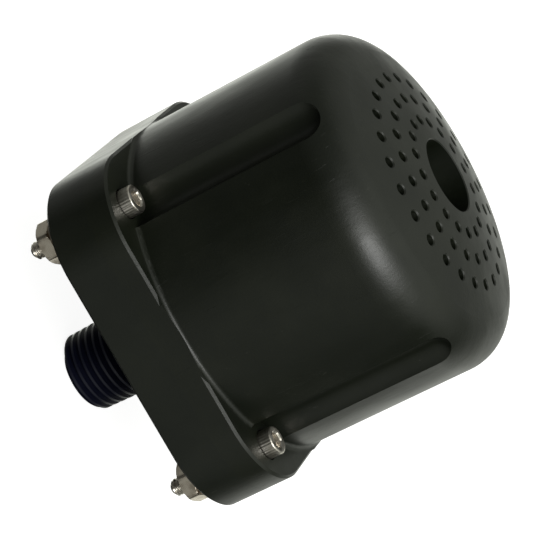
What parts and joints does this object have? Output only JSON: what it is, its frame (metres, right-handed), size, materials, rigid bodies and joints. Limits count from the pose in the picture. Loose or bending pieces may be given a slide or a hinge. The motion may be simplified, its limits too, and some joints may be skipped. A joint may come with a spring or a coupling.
{
  "type": "pneumatic muffler",
  "caption": "Black plastic exhaust muffler with a tapered pipe thread, square screwed flange, and a vented dome with a centre outlet.",
  "frame": {"origin": "on the body's axis, in the plane of the inlet thread's free end, which is the lowest point", "axes": "+Z along the body axis towards the vented dome; +X and +Y along the sides of the square flange, the inlet thread standing 2.15 mm off the axis towards +X"},
  "size_m": [0.0572, 0.0572, 0.0709],
  "materials": {
    "housing_plastic": "black glass-filled nylon, fine satin moulded skin",
    "base_plastic": "black glass-filled nylon, fine satin moulded skin",
    "nipple_plastic": "blue-black moulded nylon, dull",
    "seal_rubber": "black nitrile rubber",
    "locknut_brass": "turned brass",
    "core_aluminium": "plain drawn tube",
    "felt": "pressed wool felt",
    "foam": "open-cell reticulated foam",
    "baffle_steel": "punched sheet",
    "screen_steel": "fine woven wire",
    "screw_steel": "stainless, bright chamfered head",
    "nut_steel": "nickel plated, slightly warm",
    "washer_steel": "nickel plated, stamped"
  },
  "bodies": {
    "base": {"base_plate": "base_plastic", "flange_gasket": "seal_rubber", "inlet_nipple": "nipple_plastic", "nipple_seal": "seal_rubber", "nipple_locknut": "locknut_brass", "diffuser_core": "core_aluminium", "core_cap": "core_aluminium", "inner_packing": "felt", "outer_packing": "foam", "baffle_plate": "baffle_steel"},
    "housing": {"housing": "housing_plastic", "exhaust_screen": "screen_steel", "screen_ring": "screen_steel"},
    "screw_1": {"screw_1": "screw_steel"},
    "washer_1": {"nut_washer_1": "washer_steel"},
    "nut_1": {"nut_1": "nut_steel"},
    "screw_2": {"screw_2": "screw_steel"},
    "washer_2": {"nut_washer_2": "washer_steel"},
    "nut_2": {"nut_2": "nut_steel"},
    "screw_3": {"screw_3": "screw_steel"},
    "washer_3": {"nut_washer_3": "washer_steel"},
    "nut_3": {"nut_3": "nut_steel"},
    "screw_4": {"screw_4": "screw_steel"},
    "washer_4": {"nut_washer_4": "washer_steel"},
    "nut_4": {"nut_4": "nut_steel"}
  },
  "joints": [
    {"name": "housing_lift", "type": "slide", "parent": "base", "child": "housing", "axis": [0, 0, 1], "range_m": [0, 0.045]},
    {"name": "screw_1_withdraw", "type": "slide", "parent": "housing", "child": "screw_1", "axis": [0, 0, 1], "range_m": [0, 0.0175]},
    {"name": "nut_1_travel", "type": "slide", "parent": "base", "child": "washer_1", "axis": [0, 0, -1], "range_m": [0, 0.00635]},
    {"name": "nut_1_turn", "type": "hinge", "parent": "washer_1", "child": "nut_1", "pos_m": [-0.0214, -0.0214, 0.0188], "axis": [0, 0, -1], "range_deg": [0, 3600]},
    {"name": "screw_2_withdraw", "type": "slide", "parent": "housing", "child": "screw_2", "axis": [0, 0, 1], "range_m": [0, 0.0175]},
    {"name": "nut_2_travel", "type": "slide", "parent": "base", "child": "washer_2", "axis": [0, 0, -1], "range_m": [0, 0.00635]},
    {"name": "nut_2_turn", "type": "hinge", "parent": "washer_2", "child": "nut_2", "pos_m": [0.0214, -0.0214, 0.0188], "axis": [0, 0, -1], "range_deg": [0, 3600]},
    {"name": "screw_3_withdraw", "type": "slide", "parent": "housing", "child": "screw_3", "axis": [0, 0, 1], "range_m": [0, 0.0175]},
    {"name": "nut_3_travel", "type": "slide", "parent": "base", "child": "washer_3", "axis": [0, 0, -1], "range_m": [0, 0.00635]},
    {"name": "nut_3_turn", "type": "hinge", "parent": "washer_3", "child": "nut_3", "pos_m": [0.0214, 0.0214, 0.0188], "axis": [0, 0, -1], "range_deg": [0, 3600]},
    {"name": "screw_4_withdraw", "type": "slide", "parent": "housing", "child": "screw_4", "axis": [0, 0, 1], "range_m": [0, 0.0175]},
    {"name": "nut_4_travel", "type": "slide", "parent": "base", "child": "washer_4", "axis": [0, 0, -1], "range_m": [0, 0.00635]},
    {"name": "nut_4_turn", "type": "hinge", "parent": "washer_4", "child": "nut_4", "pos_m": [-0.0214, 0.0214, 0.0188], "axis": [0, 0, -1], "range_deg": [0, 3600]}
  ],
  "couplings": [
    {"joint": "nut_1_turn", "follows": "nut_1_travel", "rad_per_m": 9894.8},
    {"joint": "nut_2_turn", "follows": "nut_2_travel", "rad_per_m": 9894.8},
    {"joint": "nut_3_turn", "follows": "nut_3_travel", "rad_per_m": 9894.8},
    {"joint": "nut_4_turn", "follows": "nut_4_travel", "rad_per_m": 9894.8}
  ]
}
